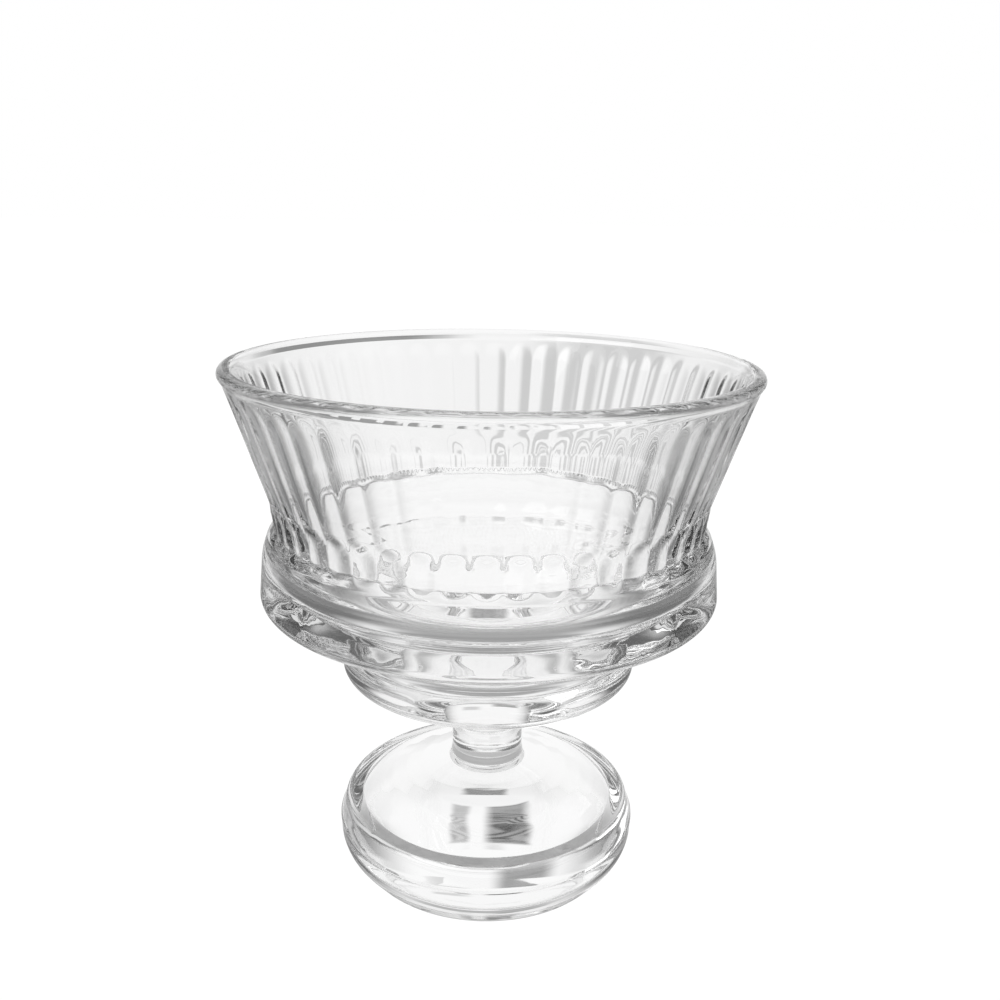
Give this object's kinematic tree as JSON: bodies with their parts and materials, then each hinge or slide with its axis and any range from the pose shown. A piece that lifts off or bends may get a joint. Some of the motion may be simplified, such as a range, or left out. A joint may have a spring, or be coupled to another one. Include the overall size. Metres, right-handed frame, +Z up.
{
  "type": "footed dessert glass",
  "caption": "Clear pressed-glass dessert dish: fluted flared bowl over a thick ring and small lower cup, short stem, domed foot.",
  "frame": {"origin": "middle of the foot's underside, on the plane that the glass stands on", "axes": "+Z up through the middle of the bowl; X and Y are level, and the glass is round about Z"},
  "size_m": [0.1, 0.1, 0.1028],
  "materials": {
    "bowl_glass": "fire-polished clear pressed glass",
    "stem_glass": "fire-polished clear pressed glass",
    "foot_glass": "fire-polished clear pressed glass"
  },
  "bodies": {
    "root": {"bowl": "bowl_glass", "stem": "stem_glass", "foot": "foot_glass"}
  },
  "joints": []
}
